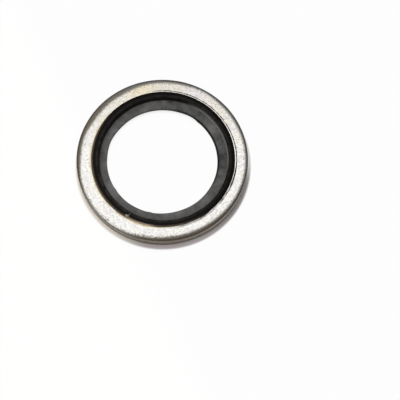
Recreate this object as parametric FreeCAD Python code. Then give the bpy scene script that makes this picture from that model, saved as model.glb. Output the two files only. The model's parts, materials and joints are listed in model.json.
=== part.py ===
# Self-centring bonded sealing washer for a half inch pipe thread, in millimetres.
#
# Two pieces make it. A flat steel ring, blanked from strip and zinc plated, is the stop that the
# joint is tightened against. A black nitrile ring is moulded and bonded into its bore. The rubber
# has a sealing lip that stands proud of both steel faces, and inside the lips a thin web whose
# hole grips the thread and centres the washer.
#
# The washer lies flat. Z runs up its axis, and the origin is the centre of its underside, in the
# plane that the lower lip rests on.
import FreeCAD
import Part
import math
import os

# Rings of the washer from the hole outwards: the hole's diameter, then each ring's width, measured
# along a radius.
HOLE_DIAMETER = 18.4
WEB_WIDTH = 1.57
LIP_WIDTH = 1.13
STEEL_WIDTH = 2.39

# Steel ring
STEEL_THICKNESS = 2.49
BORE_EDGE_BREAK = 0.1

# Blanking draws the outer edge over on the punch side. Below that is a sheared land at full size,
# then a torn zone that tapers in to the far face.
ROLL_WIDTH = 0.9
ROLL_DEPTH = 0.4
TORN_HEIGHT = 1.0
TORN_TAPER = 0.07
FAR_EDGE_RADIUS = 0.12

# The mould shuts off against each steel face and leaves a fine witness groove round the rubber.
WITNESS_GAP = 0.18
WITNESS_WIDTH = 0.15
WITNESS_DEPTH = 0.05

# Rubber sealing lips, the same on both faces
LIP_PROUD = 0.25
LIP_LAND = 0.06
LIP_NOSE_RADIUS = 0.26
LIP_CROWN = 0.04
LIP_DRAFT_DEG = 4
LIP_FOOT_RADIUS = 0.16

# Rubber centring web, at mid height
WEB_ROOT_THICKNESS = 0.7
WEB_EDGE_THICKNESS = 0.56
WEB_EDGE_RADIUS = 0.16

# Radii and heights worked out from the sizes above
HOLE_R = HOLE_DIAMETER / 2
SEAL_R = HOLE_R + WEB_WIDTH
BORE_R = SEAL_R + LIP_WIDTH
OUTER_R = BORE_R + STEEL_WIDTH
BORE_MOUTH_R = BORE_R + BORE_EDGE_BREAK
LOWER_FACE = LIP_PROUD
UPPER_FACE = LOWER_FACE + STEEL_THICKNESS
MIDDLE = LOWER_FACE + STEEL_THICKNESS / 2

FULL_TURN_DEG = 360


def at(radius, height):
    """A point of the half section: its distance from the axis, and its height."""
    return FreeCAD.Vector(radius, 0, height)


def rounded(corner, before, after, radius):
    """The arc that rounds a corner of an outline, tangent to both of its sides."""
    to_before = (before - corner).normalize()
    to_after = (after - corner).normalize()
    half_angle = to_before.getAngle(to_after) / 2
    setback = radius / math.tan(half_angle)
    inwards = (to_before + to_after).normalize()
    middle = corner + inwards * (radius / math.sin(half_angle) - radius)
    return Part.Arc(corner + to_before * setback, middle, corner + to_after * setback)


def outline(corners):
    """Edges from the first corner to the last. A corner is (point, radius), and 0 leaves it sharp."""
    edges = []
    start = corners[0][0]
    for (before, _), (corner, radius), (after, _) in zip(corners, corners[1:], corners[2:]):
        end = corner
        if radius > 0:
            arc = rounded(corner, before, after, radius)
            edges.append(arc.toShape())
            end = arc.StartPoint
        edges.append(Part.LineSegment(start, end).toShape())
        start = arc.EndPoint if radius > 0 else corner
    edges.append(Part.LineSegment(start, corners[-1][0]).toShape())
    return edges


def turned(edges):
    """The solid that a closed half section sweeps in a full turn about the axis."""
    section = Part.Face(Part.Wire(Part.sortEdges(edges)[0]))
    return section.revolve(FreeCAD.Vector(0, 0, 0), FreeCAD.Vector(0, 0, 1), FULL_TURN_DEG)


def steel_bore():
    """Corners of the surface where the steel and the rubber are bonded, from the lower face up."""
    return [
        (at(BORE_MOUTH_R, LOWER_FACE), 0),
        (at(BORE_R, LOWER_FACE + BORE_EDGE_BREAK), 0),
        (at(BORE_R, UPPER_FACE - BORE_EDGE_BREAK), 0),
        (at(BORE_MOUTH_R, UPPER_FACE), 0),
    ]


def witness_groove(face, into_steel):
    """Corners of the shallow groove in one steel face, from its rubber side outwards."""
    inner_r = BORE_MOUTH_R + WITNESS_GAP
    bottom = at(inner_r + WITNESS_WIDTH / 2, face + into_steel * WITNESS_DEPTH)
    return [(at(inner_r, face), 0), (bottom, 0), (at(inner_r + WITNESS_WIDTH, face), 0)]


def drawn_over_edge(land_top, roll_start):
    """The blanked edge's roll-over, tangent to the sheared land and to the upper face."""
    curve = Part.BezierCurve()
    curve.setPoles([land_top, at(OUTER_R, UPPER_FACE), roll_start])
    return curve.toShape()


def steel_ring():
    """The blanked steel ring."""
    land_top = at(OUTER_R, UPPER_FACE - ROLL_DEPTH)
    roll_start = at(OUTER_R - ROLL_WIDTH, UPPER_FACE)
    edge_wall = [
        (land_top, 0),
        (at(OUTER_R, LOWER_FACE + TORN_HEIGHT), 0),
        (at(OUTER_R - TORN_TAPER, LOWER_FACE), FAR_EDGE_RADIUS),
    ]
    lower_groove = witness_groove(LOWER_FACE, 1)
    upper_groove = witness_groove(UPPER_FACE, -1)
    corners = edge_wall + lower_groove[::-1] + steel_bore() + upper_groove + [(roll_start, 0)]
    return turned(outline(corners) + [drawn_over_edge(land_top, roll_start)])


def crowned_slope(mouth, crest, side):
    """The lip's outer slope, from the steel's bore up to the crest, swollen a little in its middle."""
    middle = (mouth + crest) / 2 + at(0, side * LIP_CROWN)
    return Part.Arc(mouth, middle, crest).toShape()


def half_of_rubber(side):
    """Corners of one half of the rubber, from the lip's crest in to the hole.

    side is 1 for the upper half and -1 for the lower half.
    """
    foot_height = WEB_ROOT_THICKNESS / 2
    crest_height = STEEL_THICKNESS / 2 + LIP_PROUD
    wall_top_r = SEAL_R + (crest_height - foot_height) * math.tan(math.radians(LIP_DRAFT_DEG))
    crest_r = wall_top_r + LIP_NOSE_RADIUS + LIP_LAND
    return [
        (at(crest_r, MIDDLE + side * crest_height), 0),
        (at(wall_top_r, MIDDLE + side * crest_height), LIP_NOSE_RADIUS),
        (at(SEAL_R, MIDDLE + side * foot_height), LIP_FOOT_RADIUS),
        (at(HOLE_R, MIDDLE + side * WEB_EDGE_THICKNESS / 2), WEB_EDGE_RADIUS),
    ]


def rubber_ring():
    """The moulded rubber ring: two lips and the web, bonded all over the steel's bore."""
    upper = half_of_rubber(1)
    lower = half_of_rubber(-1)
    bonded = steel_bore()
    upper_slope = crowned_slope(bonded[-1][0], upper[0][0], 1)
    lower_slope = crowned_slope(bonded[0][0], lower[0][0], -1)
    return turned(outline(upper + lower[::-1]) + outline(bonded) + [upper_slope, lower_slope])


os.makedirs("parts", exist_ok=True)
steel_ring().exportStep("parts/steel_ring.step")
rubber_ring().exportStep("parts/rubber_ring.step")
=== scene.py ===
# A self-centring bonded sealing washer for a half inch pipe thread, lying on white paper: a zinc
# plated steel ring with a black nitrile ring moulded into its bore.
import bpy
import json
import math
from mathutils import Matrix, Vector, noise


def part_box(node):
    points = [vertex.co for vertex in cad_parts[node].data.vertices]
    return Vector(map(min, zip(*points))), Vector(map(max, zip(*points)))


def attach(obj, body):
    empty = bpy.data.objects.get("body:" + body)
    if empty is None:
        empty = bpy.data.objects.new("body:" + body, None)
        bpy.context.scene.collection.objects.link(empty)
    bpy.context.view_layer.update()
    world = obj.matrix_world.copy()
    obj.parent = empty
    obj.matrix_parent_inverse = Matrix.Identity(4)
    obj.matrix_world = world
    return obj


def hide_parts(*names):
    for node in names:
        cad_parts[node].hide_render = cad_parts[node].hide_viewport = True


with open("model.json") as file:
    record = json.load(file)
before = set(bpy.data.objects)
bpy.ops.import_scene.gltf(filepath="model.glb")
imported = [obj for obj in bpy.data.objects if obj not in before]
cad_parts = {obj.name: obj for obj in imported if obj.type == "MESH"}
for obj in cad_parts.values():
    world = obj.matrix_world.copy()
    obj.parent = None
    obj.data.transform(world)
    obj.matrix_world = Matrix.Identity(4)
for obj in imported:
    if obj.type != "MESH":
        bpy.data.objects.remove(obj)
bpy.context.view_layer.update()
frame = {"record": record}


# Steel ring, the stop that the joint is tightened against. It is blanked from strip steel and zinc
# plated. The punch draws its upper outer edge over, shears a smooth land below that, and tears the
# rest of the wall. The mould then shuts off against both faces and marks a fine groove in them.
MM = 0.001
steel_low, steel_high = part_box("steel_ring")
STEEL_LOW = steel_low.z / MM
STEEL_HIGH = steel_high.z / MM
OUTER_R = steel_high.x / MM
STEEL_WIDTH = 2.39
BORE_R = OUTER_R - STEEL_WIDTH
BORE_EDGE_BREAK = 0.1
MOUTH_R = BORE_R + BORE_EDGE_BREAK
ROLL_WIDTH = 0.9
ROLL_DEPTH = 0.4
TORN_HEIGHT = 1.0
TORN_TAPER = 0.07
FAR_EDGE_RADIUS = 0.12
WITNESS_GAP = 0.18
WITNESS_WIDTH = 0.15
WITNESS_DEPTH = 0.05
WITNESS_R = MOUTH_R + WITNESS_GAP + WITNESS_WIDTH / 2
STEEL_STEP = 0.14
STEEL_SHARP_DEG = 32
RING_STEPS = 480


def arc_points(before, corner, after, radius, steps=6):
    """Points of the arc that rounds a corner of a section, tangent to both of its sides."""
    to_before = (before - corner).normalized()
    to_after = (after - corner).normalized()
    half = to_before.angle(to_after) / 2
    centre = corner + (to_before + to_after).normalized() * (radius / math.sin(half))
    first = (corner + to_before * (radius / math.tan(half)) - centre).normalized()
    last = (corner + to_after * (radius / math.tan(half)) - centre).normalized()
    return [centre + first.slerp(last, i / steps) * radius for i in range(steps + 1)]


def section(corners, step):
    """Points of a closed section, radius and height in millimetres, none further apart than a step.

    A corner is (radius, height, rounding), and a rounding of 0 leaves it sharp.
    """
    points = [Vector((r, z)) for r, z, _ in corners]
    bent = []
    for i, (_, _, rounding) in enumerate(corners):
        before, after = points[i - 1], points[(i + 1) % len(points)]
        bent += arc_points(before, points[i], after, rounding) if rounding else [points[i]]
    fine = []
    for here, there in zip(bent, bent[1:] + bent[:1]):
        parts = max(1, math.ceil((there - here).length / step))
        fine += [here.lerp(there, i / parts) for i in range(parts)]
    return fine


def turned(points, steps, shape):
    """Corners and faces of the section swept once round the axis, each corner moved by shape.

    shape takes a radius, a height and an angle, and gives the worn radius and height.
    """
    corners, faces = [], []
    count = len(points)
    for i in range(steps):
        angle = math.tau * i / steps
        following = (i + 1) % steps
        for j, (r, z) in enumerate(points):
            worn_r, worn_z = shape(r, z, angle)
            corners.append(Vector((worn_r * math.cos(angle), worn_r * math.sin(angle), worn_z)) * MM)
            k = (j + 1) % count
            faces.append((i * count + j, following * count + j, following * count + k, i * count + k))
    return corners, faces


def piece(name, corners, faces, material, sharp_deg):
    """A smooth-shaded object with sharp edges where its faces turn by more than an angle."""
    mesh = bpy.data.meshes.new(name)
    mesh.from_pydata(corners, [], faces)
    mesh.validate()
    mesh.materials.append(material)
    mesh.shade_smooth()
    mesh.set_sharp_from_angle(angle=math.radians(sharp_deg))
    made = bpy.data.objects.new(name, mesh)
    bpy.context.scene.collection.objects.link(made)
    return made


def rough(r, z, angle, along, across):
    """Noise from -1 to 1 on the ring, with a grain this long round the ring and this long in height."""
    return noise.noise(Vector((r * math.cos(angle) / along, r * math.sin(angle) / along, z / across)))


def smooth(value, low, high):
    """0 up to low and 1 from high, smooth between them. High may be below low."""
    t = min(1, max(0, (value - low) / (high - low)))
    return t * t * (3 - 2 * t)


def steel_section():
    """The ring's section, from the bottom of its bore round by the upper face and the wall."""
    land_top = STEEL_HIGH - ROLL_DEPTH
    roll_start = Vector((OUTER_R - ROLL_WIDTH, STEEL_HIGH))
    roll_corner = Vector((OUTER_R, STEEL_HIGH))
    roll_end = Vector((OUTER_R, land_top))
    steps = 16
    roll = []
    for i in range(steps + 1):
        t = i / steps
        point = roll_start * (1 - t) ** 2 + roll_corner * (2 * t * (1 - t)) + roll_end * t ** 2
        roll.append((point.x, point.y, 0))
    return section([
        (BORE_R, STEEL_LOW + BORE_EDGE_BREAK, 0),
        (BORE_R, STEEL_HIGH - BORE_EDGE_BREAK, 0),
        (MOUTH_R, STEEL_HIGH, 0),
        (WITNESS_R - WITNESS_WIDTH / 2, STEEL_HIGH, 0),
        (WITNESS_R, STEEL_HIGH - WITNESS_DEPTH, 0),
        (WITNESS_R + WITNESS_WIDTH / 2, STEEL_HIGH, 0),
        *roll,
        (OUTER_R, STEEL_LOW + TORN_HEIGHT, 0),
        (OUTER_R - TORN_TAPER, STEEL_LOW, FAR_EDGE_RADIUS),
        (WITNESS_R + WITNESS_WIDTH / 2, STEEL_LOW, 0),
        (WITNESS_R, STEEL_LOW + WITNESS_DEPTH, 0),
        (WITNESS_R - WITNESS_WIDTH / 2, STEEL_LOW, 0),
        (MOUTH_R, STEEL_LOW, 0),
    ], STEEL_STEP)


def shift(distance, degrees, angle):
    """How far out a circle lies at an angle, when its centre is moved this far in this direction."""
    return distance * math.cos(angle - math.radians(degrees))


# The bore was pierced a little off the outer edge's axis, and the groove that the mould marked
# lies off it another way, in millimetres and degrees. The face moves with them, less and less
# between these two radii.
BORE_SHIFT = (0.14, 6)
WITNESS_SHIFT = (0.16, -20)
SHIFT_FULL_R = WITNESS_R + 0.1
SHIFT_ENDS_R = OUTER_R - 1.2

# The groove in the upper face is deepest in this direction, and fades out between these cosines
# of the angle from it.
WITNESS_FACES_DEG = 35
WITNESS_FADES = (0.35, 0.6)

# The face waves a little. The torn zone at the wall's foot is rough, and its border to the land
# is ragged and soft. WALL_BAND is how far in from the outer radius the tears reach. All are in
# millimetres.
FACE_WAVE = 0.004
FACE_WAVE_LENGTH = 1.7
TEAR_DEPTH = 0.045
TEAR_LENGTH = 0.3
TEAR_HEIGHT = 1.1
TEAR_RAGGED = 0.22
TEAR_RAGGED_LENGTH = 0.8
TEAR_BLEND = 0.15
WALL_BAND = 0.3


def worn_steel(r, z, angle):
    """Shifts the bore and the grooves, fades one out on a side, waves the face and tears the wall."""
    bore = shift(*BORE_SHIFT, angle)
    witness = shift(*WITNESS_SHIFT, angle)
    moved = bore + (witness - bore) * smooth(r, MOUTH_R, WITNESS_R - WITNESS_WIDTH / 2)
    worn_r = r + moved * smooth(r, SHIFT_ENDS_R, SHIFT_FULL_R)
    worn_z = z
    if z > (STEEL_LOW + STEEL_HIGH) / 2:
        if abs(r - WITNESS_R) < WITNESS_WIDTH / 4:
            marked = smooth(math.cos(angle - math.radians(WITNESS_FACES_DEG)), *WITNESS_FADES)
            worn_z = STEEL_HIGH + (z - STEEL_HIGH) * marked
        worn_z -= FACE_WAVE * (1 + rough(r, z, angle, FACE_WAVE_LENGTH, FACE_WAVE_LENGTH)) / 2
    ragged = STEEL_LOW + TORN_HEIGHT + TEAR_RAGGED * rough(r, 0, angle, TEAR_RAGGED_LENGTH, 1)
    share = min(1, max(0, (ragged - z) / TEAR_BLEND)) if r > OUTER_R - WALL_BAND else 0
    tear = TEAR_DEPTH * (0.5 + 0.5 * rough(r, z, angle, TEAR_LENGTH, TEAR_HEIGHT))
    return worn_r - share * tear, worn_z


def linear(hex_colour):
    """A colour's linear values and full alpha, from its sRGB hex."""
    values = [int(hex_colour[i:i + 2], 16) / 255 for i in (1, 3, 5)]
    return [v / 12.92 if v <= 0.04045 else ((v + 0.055) / 1.055) ** 2.4 for v in values] + [1]


def add(tree, kind, settings, inputs):
    """A new node with its settings, each input set or joined to another's output. Gives its output."""
    made = tree.nodes.new(kind)
    for name, value in settings.items():
        setattr(made, name, value)
    for socket, value in inputs.items():
        if isinstance(value, bpy.types.NodeSocket):
            tree.links.new(value, made.inputs[socket])
        else:
            made.inputs[socket].default_value = value
    return next(output for output in made.outputs if output.enabled)


def towards(degrees, length=1):
    """A flat vector of this length that points at an angle round the washer."""
    return Vector((math.cos(math.radians(degrees)), math.sin(math.radians(degrees)), 0)) * length


def zinc_plated_steel():
    """Bright zinc over blanked strip: satin, finely speckled, dull and brown on the drawn edge with painted
    shade.
    """
    material = bpy.data.materials.new("zinc_plated_steel")
    material.use_nodes = True
    tree = material.node_tree
    shader = tree.nodes["Principled BSDF"]
    soft = {"interpolation_type": "SMOOTHSTEP"}
    blend = {"data_type": "RGBA"}

    # Lengths in the materials are in millimetres, and a noise's scale is one over its grain.
    # Directions are in degrees, 0 to the right and 90 to the back. A colour mix has its share in
    # socket 0 and its two colours in sockets 6 and 7.
    place = add(tree, "ShaderNodeTexCoord", {}, {}).node.outputs["Object"]
    place = add(tree, "ShaderNodeVectorMath", {"operation": "SCALE"}, {0: place, "Scale": 1 / MM})
    flat = add(tree, "ShaderNodeVectorMath", {"operation": "MULTIPLY"}, {0: place, 1: (1, 1, 0)})
    radius = add(tree, "ShaderNodeVectorMath", {"operation": "LENGTH"}, {0: flat})
    apart = add(tree, "ShaderNodeSeparateXYZ", {}, {0: place}).node.outputs
    height = apart["Z"]

    # The plating is painted brighter towards the front and darker towards the back, partly painted
    # shade and partly a little beige tint there, where it also has a straw stain and a lilac one.
    # Fainter stains and soft grey mottling lie all over.
    front = add(tree, "ShaderNodeVectorMath", {"operation": "DOT_PRODUCT"}, {0: flat, 1: towards(268)})
    beige_and_back_shade = add(tree, "ShaderNodeMapRange", soft, {"Value": front, "From Min": 2, "From Max": -16})
    colour = add(tree, "ShaderNodeMix", blend, {0: beige_and_back_shade, 6: linear("#c6c5c2"), 7: linear("#b5b1a7")})
    field = add(tree, "ShaderNodeTexNoise", {}, {"Vector": place, "Scale": 1 / 1.1, "Detail": 3})
    straw = {"Value": field, "From Min": 0.52, "From Max": 0.7, "To Max": 0.18}
    straw = add(tree, "ShaderNodeMapRange", soft, straw)
    colour = add(tree, "ShaderNodeMix", blend, {0: straw, 6: colour, 7: linear("#c2b998")})
    field = add(tree, "ShaderNodeTexNoise", {}, {"Vector": place, "Scale": 1 / 1.6, "Detail": 2})
    lilac = {"Value": field, "From Min": 0.52, "From Max": 0.68, "To Max": 0.3}
    lilac = add(tree, "ShaderNodeMapRange", soft, lilac)
    colour = add(tree, "ShaderNodeMix", blend, {0: lilac, 6: colour, 7: linear("#bab5be")})
    for degrees, stain in ((106, "#c3b283"), (65, "#bcb8c6")):
        middle = towards(degrees, 13.2)
        share = add(tree, "ShaderNodeVectorMath", {"operation": "DISTANCE"}, {0: flat, 1: middle})
        share = {"Value": share, "From Min": 3.4, "From Max": 0.6, "To Max": 0.38}
        share = add(tree, "ShaderNodeMapRange", soft, share)
        colour = add(tree, "ShaderNodeMix", blend, {0: share, 6: colour, 7: linear(stain)})
    field = add(tree, "ShaderNodeTexNoise", {}, {"Vector": place, "Scale": 1 / 0.35, "Detail": 5})
    mottled = {"Value": field, "From Min": 0.4, "From Max": 0.64, "To Max": 0.3}
    mottled = add(tree, "ShaderNodeMapRange", soft, mottled)
    colour = add(tree, "ShaderNodeMix", blend, {0: mottled, 6: colour, 7: linear("#9c978e")})

    # The punch drew the edge over in a ring that is a little oval and three-cornered, and uneven from
    # the back right round by the left. The drawn edge is dark, grey at the back right and brown
    # elsewhere, partly its dull finish and partly painted shade. The sheared land under it is paler,
    # partly its own finish and partly a painted reflection.
    oval = {"Vector": flat, "Location": towards(-72, 0.2), "Rotation": (0, 0, math.radians(41)),
            "Scale": (1.0145, 0.9855, 1)}
    drawn = add(tree, "ShaderNodeMapping", {"vector_type": "TEXTURE"}, oval)
    drawn = add(tree, "ShaderNodeVectorMath", {"operation": "LENGTH"}, {0: drawn})
    angle = add(tree, "ShaderNodeMath", {"operation": "ARCTAN2"}, {0: apart["Y"], 1: apart["X"]})
    corners = add(tree, "ShaderNodeMath", {"operation": "MULTIPLY_ADD"}, {0: angle, 1: 3, 2: -0.59})
    corners = add(tree, "ShaderNodeMath", {"operation": "SINE"}, {0: corners})
    drawn = add(tree, "ShaderNodeMath", {"operation": "MULTIPLY_ADD"}, {0: corners, 1: 0.144, 2: drawn})
    for degrees, change in ((60, -0.2), (118, 0.12), (163, -0.22), (200, -0.1), (240, -0.12)):
        middle = towards(degrees, 13.8)
        moved = add(tree, "ShaderNodeVectorMath", {"operation": "DISTANCE"}, {0: flat, 1: middle})
        moved = {"Value": moved, "From Min": 4, "From Max": 0, "To Max": change}
        moved = add(tree, "ShaderNodeMapRange", soft, moved)
        drawn = add(tree, "ShaderNodeMath", {"operation": "ADD"}, {0: drawn, 1: moved})
    blotch = add(tree, "ShaderNodeTexNoise", {}, {"Vector": place, "Scale": 1 / 0.25, "Detail": 3})
    border = add(tree, "ShaderNodeMath", {"operation": "MULTIPLY_ADD"}, {0: blotch, 1: 0.4, 2: drawn})
    rolled = add(tree, "ShaderNodeMapRange", soft, {"Value": border, "From Min": 13.58, "From Max": 14.18})
    upper = add(tree, "ShaderNodeMapRange", soft, {"Value": height, "From Min": 0.3, "From Max": 0.6})
    rolled = add(tree, "ShaderNodeMath", {"operation": "MULTIPLY"}, {0: rolled, 1: upper})
    back_right = add(tree, "ShaderNodeVectorMath", {"operation": "DOT_PRODUCT"}, {0: flat, 1: towards(45)})
    grey = add(tree, "ShaderNodeMapRange", soft, {"Value": back_right, "From Min": -4, "From Max": 8})
    dull_and_shade = add(tree, "ShaderNodeMix", blend, {0: grey, 6: linear("#5f5950"), 7: linear("#666561")})
    land = {"Value": height, "From Min": STEEL_HIGH - 0.3, "From Max": STEEL_HIGH - 0.55}
    land = add(tree, "ShaderNodeMapRange", soft, land)
    dull_and_shade = add(tree, "ShaderNodeMix", blend, {0: land, 6: dull_and_shade, 7: linear("#8d8577")})
    colour = add(tree, "ShaderNodeMix", blend, {0: rolled, 6: colour, 7: dull_and_shade})

    # A few small dark pits lie all over, more where the edge begins to draw over, and most of them
    # there at the front. Real pits are finer than the render shows, so these are drawn at 0.2 mm.
    field = add(tree, "ShaderNodeTexNoise", {}, {"Vector": place, "Scale": 1 / 0.2, "Detail": 2})
    thick = {"Value": drawn, "From Min": 13, "From Max": 13.8, "To Max": 0.16}
    thick = add(tree, "ShaderNodeMapRange", soft, thick)
    near = add(tree, "ShaderNodeVectorMath", {"operation": "DOT_PRODUCT"}, {0: flat, 1: towards(258)})
    near = {"Value": near, "From Min": 10, "From Max": 13, "To Min": 0.35}
    near = add(tree, "ShaderNodeMapRange", soft, near)
    pits = add(tree, "ShaderNodeMath", {"operation": "MULTIPLY_ADD"}, {0: thick, 1: near, 2: field})
    pits = {"Value": pits, "From Min": 0.61, "From Max": 0.7, "To Max": 0.8}
    pits = add(tree, "ShaderNodeMapRange", soft, pits)
    colour = add(tree, "ShaderNodeMix", blend, {0: pits, 6: colour, 7: linear("#544d42")})

    # The torn zone at the wall's foot is darker than the land.
    torn = add(tree, "ShaderNodeMath", {"operation": "MULTIPLY_ADD"}, {0: blotch, 1: 0.8, 2: height})
    torn = add(tree, "ShaderNodeMapRange", soft, {"Value": torn, "From Min": 1.9, "From Max": 1.4})
    wall = {"Value": radius, "From Min": OUTER_R - 0.35, "From Max": OUTER_R - 0.2}
    wall = add(tree, "ShaderNodeMapRange", soft, wall)
    torn = add(tree, "ShaderNodeMath", {"operation": "MULTIPLY"}, {0: torn, 1: wall})
    colour = add(tree, "ShaderNodeMix", blend, {0: torn, 6: colour, 7: linear("#6c6358")})

    # Bonding agent has left fine brown streaks along the bore at the left, and a thin film of
    # flash, torn into black streaks, lies on its edge at the front right.
    centre = towards(*BORE_SHIFT[::-1])
    bored = add(tree, "ShaderNodeVectorMath", {"operation": "DISTANCE"}, {0: flat, 1: centre})
    along = add(tree, "ShaderNodeMath", {"operation": "MULTIPLY"}, {0: angle, 1: MOUTH_R / 1.6})
    outwards = add(tree, "ShaderNodeMath", {"operation": "MULTIPLY"}, {0: bored, 1: 1 / 0.12})
    streaks = add(tree, "ShaderNodeCombineXYZ", {}, {"X": along, "Y": outwards})
    streaks = add(tree, "ShaderNodeTexNoise", {}, {"Vector": streaks, "Scale": 1, "Detail": 2})
    line = add(tree, "ShaderNodeMath", {"operation": "MULTIPLY_ADD"}, {0: streaks, 1: -0.9, 2: bored})
    line = {"Value": line, "From Min": MOUTH_R - 0.16, "From Max": MOUTH_R - 0.42}
    line = add(tree, "ShaderNodeMapRange", soft, line)
    left = add(tree, "ShaderNodeVectorMath", {"operation": "DOT_PRODUCT"}, {0: flat, 1: towards(205)})
    left = {"Value": left, "From Min": 0, "From Max": 8, "To Max": 0.7}
    left = add(tree, "ShaderNodeMapRange", soft, left)
    line = add(tree, "ShaderNodeMath", {"operation": "MULTIPLY"}, {0: line, 1: left})
    colour = add(tree, "ShaderNodeMix", blend, {0: line, 6: colour, 7: linear("#948145")})
    film = {"Value": bored, "From Min": MOUTH_R + 0.36, "From Max": MOUTH_R + 0.24}
    film = add(tree, "ShaderNodeMapRange", soft, film)
    torn_film = {"Value": streaks, "From Min": 0.44, "From Max": 0.52, "To Min": 0.2, "To Max": 0.95}
    torn_film = add(tree, "ShaderNodeMapRange", soft, torn_film)
    film = add(tree, "ShaderNodeMath", {"operation": "MULTIPLY"}, {0: film, 1: torn_film})
    right = add(tree, "ShaderNodeVectorMath", {"operation": "DOT_PRODUCT"}, {0: flat, 1: towards(318)})
    right = add(tree, "ShaderNodeMapRange", soft, {"Value": right, "From Min": 9.2, "From Max": 10.6})
    film = add(tree, "ShaderNodeMath", {"operation": "MULTIPLY"}, {0: film, 1: right})
    colour = add(tree, "ShaderNodeMix", blend, {0: film, 6: colour, 7: linear("#35322e")})

    # The groove that the mould marked holds broken black rubber on the side where it is deep, and
    # the black is partly painted shade in the groove.
    centre = towards(*WITNESS_SHIFT[::-1])
    groove_rubber_and_shade = add(tree, "ShaderNodeVectorMath", {"operation": "DISTANCE"}, {0: flat, 1: centre})
    groove_rubber_and_shade = add(tree, "ShaderNodeMath", {"operation": "SUBTRACT"}, {0: groove_rubber_and_shade, 1: WITNESS_R})
    groove_rubber_and_shade = add(tree, "ShaderNodeMath", {"operation": "ABSOLUTE"}, {0: groove_rubber_and_shade})
    groove_rubber_and_shade = add(tree, "ShaderNodeMapRange", soft, {"Value": groove_rubber_and_shade, "From Min": 0.095, "From Max": 0.05})
    deep = towards(WITNESS_FACES_DEG)
    deep = add(tree, "ShaderNodeVectorMath", {"operation": "DOT_PRODUCT"}, {0: flat, 1: deep})
    deep = add(tree, "ShaderNodeMapRange", soft, {"Value": deep, "From Min": 5, "From Max": 7.5})
    groove_rubber_and_shade = add(tree, "ShaderNodeMath", {"operation": "MULTIPLY"}, {0: groove_rubber_and_shade, 1: deep})
    broken = add(tree, "ShaderNodeTexNoise", {}, {"Vector": place, "Scale": 1 / 0.6, "Detail": 2})
    broken = add(tree, "ShaderNodeMapRange", soft, {"Value": broken, "From Min": 0.28, "From Max": 0.46})
    groove_rubber_and_shade = add(tree, "ShaderNodeMath", {"operation": "MULTIPLY"}, {0: groove_rubber_and_shade, 1: broken})
    colour = add(tree, "ShaderNodeMix", blend, {0: groove_rubber_and_shade, 6: colour, 7: linear("#1b1917")})

    # Zinc over rolled strip is satin, and rougher where the edge was drawn. Its own grain is too fine
    # to show in the render, so it is drawn at 0.2 mm.
    field = add(tree, "ShaderNodeTexNoise", {}, {"Vector": place, "Scale": 1 / 0.35, "Detail": 3})
    roughness = {"Value": field, "From Min": 0.3, "From Max": 0.7, "To Min": 0.36, "To Max": 0.46}
    roughness = add(tree, "ShaderNodeMapRange", {}, roughness)
    roughness = add(tree, "ShaderNodeMath", {"operation": "MULTIPLY_ADD"}, {0: rolled, 1: 0.08, 2: roughness})
    grain = add(tree, "ShaderNodeTexNoise", {}, {"Vector": place, "Scale": 1 / 0.2, "Detail": 3})
    bump = add(tree, "ShaderNodeBump", {}, {"Strength": 0.5, "Distance": 0.006 * MM, "Height": grain})

    tree.links.new(colour, shader.inputs["Base Color"])
    tree.links.new(roughness, shader.inputs["Roughness"])
    tree.links.new(bump, shader.inputs["Normal"])
    shader.inputs["Metallic"].default_value = 1
    return material


steel_shape = turned(steel_section(), RING_STEPS, worn_steel)
steel = piece("zinc_plated_ring", *steel_shape, zinc_plated_steel(), STEEL_SHARP_DEG)
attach(steel, "root")
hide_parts("steel_ring")


# Rubber ring, one black nitrile moulding bonded all over the steel's bore. A lip stands proud of
# each face and seals. The thin web at mid height has the hole that grips the thread, and was
# trimmed after moulding, so its edge isn't quite round.
rubber_low, rubber_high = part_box("rubber_ring")
RUBBER_LOW = rubber_low.z / MM
RUBBER_HIGH = rubber_high.z / MM
MIDDLE = (RUBBER_LOW + RUBBER_HIGH) / 2
web_hole = next(m for m in frame["record"]["mounts"] if m["name"] == "web_hole")
HOLE_R = web_hole["dims"]["r_mm"]
LIP_WIDTH = 1.13
SEAL_R = BORE_R - LIP_WIDTH
LIP_LAND = 0.06
LIP_NOSE_RADIUS = 0.26
LIP_CROWN = 0.04
LIP_DRAFT_DEG = 4
LIP_FOOT_RADIUS = 0.16
WEB_ROOT_THICKNESS = 0.7
WEB_EDGE_THICKNESS = 0.56
WEB_EDGE_RADIUS = 0.16
RUBBER_STEP = 0.14
RUBBER_SHARP_DEG = 40


def rubber_section():
    """The ring's section, from the upper lip's crest in to the hole, and back by the lower lip."""
    rise = math.tan(math.radians(LIP_DRAFT_DEG)) * (RUBBER_HIGH - MIDDLE - WEB_ROOT_THICKNESS / 2)
    wall_top = SEAL_R + rise
    crest = wall_top + LIP_NOSE_RADIUS + LIP_LAND
    slope_steps = 6
    upper = [
        (crest, RUBBER_HIGH, 0),
        (wall_top, RUBBER_HIGH, LIP_NOSE_RADIUS),
        (SEAL_R, MIDDLE + WEB_ROOT_THICKNESS / 2, LIP_FOOT_RADIUS),
        (HOLE_R, MIDDLE + WEB_EDGE_THICKNESS / 2, WEB_EDGE_RADIUS),
    ]
    slope = []
    for i in range(1, slope_steps + 1):
        t = i / slope_steps
        crown = LIP_CROWN * 4 * t * (1 - t)
        slope.append((crest + (MOUTH_R - crest) * t, RUBBER_HIGH + (STEEL_HIGH - RUBBER_HIGH) * t + crown, 0))
    bore = [(BORE_R, STEEL_HIGH - BORE_EDGE_BREAK, 0)]
    half = upper[::-1] + slope + bore
    mirrored = [(r, 2 * MIDDLE - z, rounding) for r, z, rounding in half]
    return section(half + mirrored[::-1], RUBBER_STEP)


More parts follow.
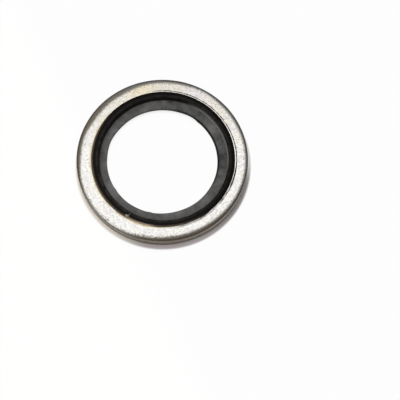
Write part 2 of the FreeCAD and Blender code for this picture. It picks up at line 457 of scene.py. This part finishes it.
# The lips lie off the axis too, in millimetres and degrees. The web moves with them more and more
# from its hole out to the first radius, and the rubber goes over to the bore's shift between the
# other two.
LIP_SHIFT = (0.27, 20)
FOLLOWS_LIP_R = SEAL_R - 0.2
LEAVES_LIP_R = SEAL_R + 0.35
FOLLOWS_BORE_R = BORE_R - 0.1

# The web's edge waves a little, and has small nubs and long bays where it was trimmed. A mark is
# its direction, how far in it stands, and its half width in degrees.
TRIM_REACH = 0.7
TRIM_WAVE = 0.03
TRIM_WAVE_LENGTH = 3.2
TRIM_MARKS = (
    (257, 0.07, 2.2),
    (50, 0.06, 2.4),
    (213, 0.05, 2.6),
    (60, -0.1, 9),
    (157, -0.11, 12),
    (285, 0.07, 20),
)


def trimmed_rubber(r, z, angle):
    """Shifts the lips, meets the steel's bore where it lies, and moves the web's edge as it was trimmed."""
    lip = shift(*LIP_SHIFT, angle) * smooth(r, HOLE_R, FOLLOWS_LIP_R)
    bonded = smooth(r, LEAVES_LIP_R, FOLLOWS_BORE_R)
    worn_r = r + lip + (shift(*BORE_SHIFT, angle) - lip) * bonded
    share = min(1, max(0, (HOLE_R + TRIM_REACH - r) / TRIM_REACH))
    trim = TRIM_WAVE * rough(HOLE_R, 0, angle, TRIM_WAVE_LENGTH, 1)
    for degrees, depth, width in TRIM_MARKS:
        off = (math.degrees(angle) - degrees + 180) % 360 - 180
        trim -= depth * math.exp(-(off / width) ** 2)
    return worn_r + share * trim, z


def nitrile_rubber():
    """Moulded nitrile: black and satin on the lips, and grey with dust and mould release on the web."""
    material = bpy.data.materials.new("nitrile_rubber")
    material.use_nodes = True
    tree = material.node_tree
    shader = tree.nodes["Principled BSDF"]
    soft = {"interpolation_type": "SMOOTHSTEP"}
    blend = {"data_type": "RGBA"}
    place = add(tree, "ShaderNodeTexCoord", {}, {}).node.outputs["Object"]
    place = add(tree, "ShaderNodeVectorMath", {"operation": "SCALE"}, {0: place, "Scale": 1 / MM})
    flat = add(tree, "ShaderNodeVectorMath", {"operation": "MULTIPLY"}, {0: place, 1: (1, 1, 0)})
    radius = add(tree, "ShaderNodeVectorMath", {"operation": "LENGTH"}, {0: flat})
    centre = towards(*LIP_SHIFT[::-1])
    moulded = add(tree, "ShaderNodeVectorMath", {"operation": "DISTANCE"}, {0: flat, 1: centre})

    # The lips are black, with a brown bloom on their crests that is thickest at the front left. It is
    # partly bloom and partly a painted sheen where the crests face the low lamp at the front left.
    bloom_and_sheen = add(tree, "ShaderNodeTexNoise", {}, {"Vector": place, "Scale": 1 / 0.8, "Detail": 3})
    bloom_and_sheen = add(tree, "ShaderNodeMapRange", {}, {"Value": bloom_and_sheen, "From Min": 0.3, "From Max": 0.6})
    crest = {"Value": moulded, "From Min": SEAL_R + 0.75, "From Max": SEAL_R + 0.3}
    crest = add(tree, "ShaderNodeMapRange", soft, crest)
    front_left = add(tree, "ShaderNodeVectorMath", {"operation": "DOT_PRODUCT"}, {0: flat, 1: towards(222)})
    thick = {"Value": front_left, "From Min": 0, "From Max": 11, "To Min": 0.45}
    thick = add(tree, "ShaderNodeMapRange", soft, thick)
    bloom_and_sheen = add(tree, "ShaderNodeMath", {"operation": "MULTIPLY"}, {0: bloom_and_sheen, 1: crest})
    bloom_and_sheen = add(tree, "ShaderNodeMath", {"operation": "MULTIPLY"}, {0: bloom_and_sheen, 1: thick})
    lips = add(tree, "ShaderNodeMix", blend, {0: bloom_and_sheen, 6: linear("#080706"), 7: linear("#2b2724")})

    # Bonding agent crept out over the lips' outer slopes from the left round to the front, in fine
    # brown streaks, palest where the crest was scuffed.
    centre = towards(*BORE_SHIFT[::-1])
    bored = add(tree, "ShaderNodeVectorMath", {"operation": "DISTANCE"}, {0: flat, 1: centre})
    stain = {"Value": bored, "From Min": MOUTH_R - 0.4, "From Max": MOUTH_R - 0.12}
    stain = add(tree, "ShaderNodeMapRange", soft, stain)
    side = add(tree, "ShaderNodeMapRange", soft, {"Value": front_left, "From Min": 0, "From Max": 7})
    stain = add(tree, "ShaderNodeMath", {"operation": "MULTIPLY"}, {0: stain, 1: side})
    pale = add(tree, "ShaderNodeVectorMath", {"operation": "DISTANCE"}, {0: flat, 1: towards(252, 11.9)})
    pale = {"Value": pale, "From Min": 3.4, "From Max": 1, "To Min": 0.26, "To Max": 0.95}
    pale = add(tree, "ShaderNodeMapRange", soft, pale)
    stain = add(tree, "ShaderNodeMath", {"operation": "MULTIPLY"}, {0: stain, 1: pale})
    across = add(tree, "ShaderNodeVectorMath", {"operation": "DOT_PRODUCT"}, {0: flat, 1: towards(312)})
    angle = add(tree, "ShaderNodeMath", {"operation": "ARCTAN2"}, {0: across, 1: front_left})
    along = add(tree, "ShaderNodeMath", {"operation": "MULTIPLY"}, {0: angle, 1: MOUTH_R / 1.2})
    outwards = add(tree, "ShaderNodeMath", {"operation": "MULTIPLY"}, {0: bored, 1: 1 / 0.07})
    streaks = add(tree, "ShaderNodeCombineXYZ", {}, {"X": along, "Y": outwards})
    streaks = add(tree, "ShaderNodeTexNoise", {}, {"Vector": streaks, "Scale": 1, "Detail": 3})
    streaks = {"Value": streaks, "From Min": 0.35, "From Max": 0.55, "To Min": 0.45}
    streaks = add(tree, "ShaderNodeMapRange", soft, streaks)
    stain = add(tree, "ShaderNodeMath", {"operation": "MULTIPLY"}, {0: stain, 1: streaks})
    lips = add(tree, "ShaderNodeMix", blend, {0: stain, 6: lips, 7: linear("#a3917a")})
    scuff = add(tree, "ShaderNodeVectorMath", {"operation": "DISTANCE"}, {0: flat, 1: towards(240, 11.5)})
    flakes = add(tree, "ShaderNodeTexNoise", {}, {"Vector": place, "Scale": 1 / 0.3, "Detail": 4})
    scuff = add(tree, "ShaderNodeMath", {"operation": "MULTIPLY_ADD"}, {0: scuff, 1: -0.6, 2: flakes})
    scuff = add(tree, "ShaderNodeMapRange", soft, {"Value": scuff, "From Min": 0.34, "From Max": 0.5})
    lips = add(tree, "ShaderNodeMix", blend, {0: scuff, 6: lips, 7: linear("#8a8177")})

    # Dust lies on the web only, in soft patches with a fine grain and a few pale specks of lint. The
    # patches are paler towards the front left, darker in one place at the right and paler in two
    # others. The trimmed edge is painted dark at the back right, as painted shade on its rounded edge.
    web = {"Value": moulded, "From Min": SEAL_R, "From Max": SEAL_R - 0.14}
    web = add(tree, "ShaderNodeMapRange", soft, web)
    patch = {"Vector": place, "Scale": 1 / 1.6, "Detail": 6, "Roughness": 0.75}
    patch = add(tree, "ShaderNodeTexNoise", {}, patch)
    patch = add(tree, "ShaderNodeMath", {"operation": "MULTIPLY_ADD"}, {0: front_left, 1: 0.008, 2: patch})
    for degrees, distance, change in ((0, 9.7, -0.18), (35, 10.6, 0.18), (211, 9.8, 0.26)):
        middle = towards(degrees, distance)
        spot = add(tree, "ShaderNodeVectorMath", {"operation": "DISTANCE"}, {0: flat, 1: middle})
        spot = {"Value": spot, "From Min": 2.4, "From Max": 0.3, "To Max": change}
        spot = add(tree, "ShaderNodeMapRange", soft, spot)
        patch = add(tree, "ShaderNodeMath", {"operation": "ADD"}, {0: patch, 1: spot})
    patch = {"Value": patch, "From Min": 0.25, "From Max": 0.85, "To Max": 1.2}
    patch = add(tree, "ShaderNodeMapRange", {}, patch)
    dust = {**blend, "clamp_factor": False}
    dust = add(tree, "ShaderNodeMix", dust, {0: patch, 6: linear("#323231"), 7: linear("#676665")})
    lint = add(tree, "ShaderNodeTexVoronoi", {}, {"Vector": place, "Scale": 1 / 1.3})
    lint = {"Value": lint, "From Min": 0.08, "From Max": 0.04, "To Max": 0.6}
    lint = add(tree, "ShaderNodeMapRange", soft, lint)
    dust = add(tree, "ShaderNodeMix", blend, {0: lint, 6: dust, 7: linear("#a8a7a5")})
    # Painted shade on the web's rounded edge at the back right.
    edge_shade = {"Value": radius, "From Min": HOLE_R + 0.4, "From Max": HOLE_R + 0.2}
    edge_shade = add(tree, "ShaderNodeMapRange", soft, edge_shade)
    edge_shade_side = add(tree, "ShaderNodeVectorMath", {"operation": "DOT_PRODUCT"}, {0: flat, 1: towards(27)})
    edge_shade_side = add(tree, "ShaderNodeMapRange", soft, {"Value": edge_shade_side, "From Min": 4, "From Max": 8})
    edge_shade = add(tree, "ShaderNodeMath", {"operation": "MULTIPLY"}, {0: edge_shade, 1: edge_shade_side})
    dust = add(tree, "ShaderNodeMix", blend, {0: edge_shade, 6: dust, 7: linear("#161515")})
    colour = add(tree, "ShaderNodeMix", blend, {0: web, 6: lips, 7: dust})

    # A thin painted highlight lies in the corner at the lip's foot at the right, where the fillet faces
    # the low lamp.
    foot_highlight = add(tree, "ShaderNodeMath", {"operation": "SUBTRACT"}, {0: moulded, 1: SEAL_R - 0.04})
    foot_highlight = add(tree, "ShaderNodeMath", {"operation": "ABSOLUTE"}, {0: foot_highlight})
    foot_highlight = add(tree, "ShaderNodeMapRange", soft, {"Value": foot_highlight, "From Min": 0.13, "From Max": 0.04})
    right = add(tree, "ShaderNodeVectorMath", {"operation": "DOT_PRODUCT"}, {0: flat, 1: towards(28)})
    right = {"Value": right, "From Min": 8, "From Max": 10, "To Max": 0.55}
    right = add(tree, "ShaderNodeMapRange", soft, right)
    foot_highlight = add(tree, "ShaderNodeMath", {"operation": "MULTIPLY"}, {0: foot_highlight, 1: right})
    colour = add(tree, "ShaderNodeMix", blend, {0: foot_highlight, 6: colour, 7: linear("#898886")})

    # Moulded rubber is satin and mirrors little. The mould's grain is too fine to show in the render,
    # so it is drawn at 0.2 mm.
    grain = add(tree, "ShaderNodeTexNoise", {}, {"Vector": place, "Scale": 1 / 0.2, "Detail": 3})
    bump = add(tree, "ShaderNodeBump", {}, {"Strength": 0.4, "Distance": 0.01 * MM, "Height": grain})

    tree.links.new(colour, shader.inputs["Base Color"])
    tree.links.new(bump, shader.inputs["Normal"])
    shader.inputs["Roughness"].default_value = 0.5
    shader.inputs["IOR"].default_value = 1.52
    shader.inputs["Specular IOR Level"].default_value = 0.06
    return material


rubber_shape = turned(rubber_section(), RING_STEPS, trimmed_rubber)
rubber = piece("nitrile_ring", *rubber_shape, nitrile_rubber(), RUBBER_SHARP_DEG)
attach(rubber, "root")
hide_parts("rubber_ring")


# Paper that the washer lies on. It shows white to the camera and in the metal, and keeps the
# washer's shadow round its foot.
PAPER_HALF = 3.0
PAPER_OWN_WHITE = 0.97
paper_corners = [(x * PAPER_HALF, y * PAPER_HALF, 0) for x, y in ((-1, -1), (1, -1), (1, 1), (-1, 1))]
paper_mesh = bpy.data.meshes.new("paper")
paper_mesh.from_pydata(paper_corners, [], [(0, 1, 2, 3)])
paper = bpy.data.objects.new("paper", paper_mesh)
bpy.context.scene.collection.objects.link(paper)


def white_paper():
    """Matt paper that is nearly its own white where the camera or the metal sees it, but for its shadow."""
    material = bpy.data.materials.new("white_paper")
    material.use_nodes = True
    tree = material.node_tree
    soft = {"interpolation_type": "SMOOTHSTEP"}
    tree.nodes.remove(tree.nodes["Principled BSDF"])

    # The shadow is kept from under the rubber to a little outside the steel, and only half of it at
    # the back right. Its middle lies a little towards the front, away from the larger lamp.
    place = add(tree, "ShaderNodeTexCoord", {}, {}).node.outputs["Object"]
    place = add(tree, "ShaderNodeVectorMath", {"operation": "SCALE"}, {0: place, "Scale": 1 / MM})
    place = add(tree, "ShaderNodeVectorMath", {"operation": "SUBTRACT"}, {0: place, 1: towards(290, 0.34)})
    distance = add(tree, "ShaderNodeVectorMath", {"operation": "LENGTH"}, {0: place})
    inside = {"Value": distance, "From Min": BORE_R, "From Max": HOLE_R}
    inside = add(tree, "ShaderNodeMapRange", soft, inside)
    outside = {"Value": distance, "From Min": OUTER_R + 0.1, "From Max": OUTER_R + 0.52}
    outside = add(tree, "ShaderNodeMapRange", soft, outside)
    clear = add(tree, "ShaderNodeMath", {"operation": "MAXIMUM"}, {0: inside, 1: outside})
    right = add(tree, "ShaderNodeVectorMath", {"operation": "DOT_PRODUCT"}, {0: place, 1: towards(60)})
    right = {"Value": right, "From Min": 4, "From Max": 8.5, "To Max": 0.5}
    right = add(tree, "ShaderNodeMapRange", soft, right)
    clear = add(tree, "ShaderNodeMath", {"operation": "MAXIMUM"}, {0: clear, 1: right})
    clear = add(tree, "ShaderNodeMath", {"operation": "MULTIPLY"}, {0: clear, 1: PAPER_OWN_WHITE})
    path = add(tree, "ShaderNodeLightPath", {}, {}).node.outputs
    seen = {0: path["Is Camera Ray"], 1: path["Is Glossy Ray"]}
    seen = add(tree, "ShaderNodeMath", {"operation": "MAXIMUM"}, seen)
    seen = add(tree, "ShaderNodeMath", {"operation": "MAXIMUM"}, {0: seen, 1: path["Is Transmission Ray"]})

    # The paper's own colour shows only in the shadow. It is a cool grey, painted paler and warmer at
    # the left, which paints the shadow lighter there.
    left = add(tree, "ShaderNodeVectorMath", {"operation": "DOT_PRODUCT"}, {0: place, 1: towards(205)})
    left = add(tree, "ShaderNodeMapRange", soft, {"Value": left, "From Min": 8, "From Max": 14})
    shades = {0: left, 6: linear("#b9b3b2"), 7: linear("#f2eadf")}
    shade = add(tree, "ShaderNodeMix", {"data_type": "RGBA"}, shades)
    lit = add(tree, "ShaderNodeBsdfDiffuse", {}, {"Color": shade})
    own = add(tree, "ShaderNodeEmission", {}, {"Color": linear("#ffffff"), "Strength": 1})
    share = add(tree, "ShaderNodeMath", {"operation": "MULTIPLY"}, {0: seen, 1: clear})
    mixed = add(tree, "ShaderNodeMixShader", {}, {0: share, 1: lit, 2: own})
    tree.links.new(mixed, tree.nodes["Material Output"].inputs["Surface"])
    return material


paper_mesh.materials.append(white_paper())


# Studio light: a soft box almost overhead, a little to the back, which throws the shadow, a small
# weak one low at the front left, and a grey room that is brighter above.
def soft_box(name, azimuth_deg, elevation_deg, distance, side, level):
    """A square lamp that faces the washer. Azimuth 90 is behind the washer, seen from the camera.

    level is the brightness, from 0 to 1, that the lamp alone gives white paper.
    """
    azimuth, elevation = math.radians(azimuth_deg), math.radians(elevation_deg)
    lamp = bpy.data.lights.new(name, "AREA")
    lamp.shape = "SQUARE"
    lamp.size = side
    lamp.energy = level * math.pi ** 2 * distance ** 2 / math.sin(elevation)
    made = bpy.data.objects.new(name, lamp)
    flat = math.cos(elevation)
    away = Vector((math.cos(azimuth) * flat, math.sin(azimuth) * flat, math.sin(elevation)))
    made.location = away * distance
    made.rotation_euler = away.to_track_quat("Z", "Y").to_euler()
    bpy.context.scene.collection.objects.link(made)


soft_box("key_soft_box", azimuth_deg=105, elevation_deg=72, distance=0.8, side=0.9, level=0.55)
soft_box("left_soft_box", azimuth_deg=215, elevation_deg=38, distance=0.8, side=0.3, level=0.24)

room = bpy.data.worlds.new("room")
room.use_nodes = True
tree = room.node_tree
upward = add(tree, "ShaderNodeTexCoord", {}, {}).node.outputs["Generated"]
upward = add(tree, "ShaderNodeSeparateXYZ", {}, {0: upward}).node.outputs["Z"]
level = add(tree, "ShaderNodeMapRange", {"interpolation_type": "SMOOTHSTEP"},
            {"Value": upward, "From Min": 0.3, "From Max": 0.75, "To Min": 0.15, "To Max": 0.67})
tree.links.new(level, tree.nodes["Background"].inputs["Strength"])
tree.nodes["Background"].inputs["Color"].default_value = linear("#ffffff")
bpy.context.scene.world = room


# Camera, a long lens that looks down on the washer from the front.
CAMERA_TILT_DEG = 19.05
CAMERA_DISTANCE = 0.568
CAMERA_LENS = 306.8
LOOKS_AT = Vector((0.00629, -0.00624, 0))

camera = bpy.data.objects.new("camera", bpy.data.cameras.new("camera"))
camera.data.lens = CAMERA_LENS
camera.data.sensor_width = 36
camera.data.clip_start = 0.05
camera.data.clip_end = 20
tilt = math.radians(CAMERA_TILT_DEG)
camera.location = LOOKS_AT + Vector((0, -math.sin(tilt), math.cos(tilt))) * CAMERA_DISTANCE
camera.rotation_euler = (tilt, 0, 0)
bpy.context.scene.collection.objects.link(camera)
bpy.context.scene.camera = camera
bpy.context.scene.view_settings.view_transform = "Standard"
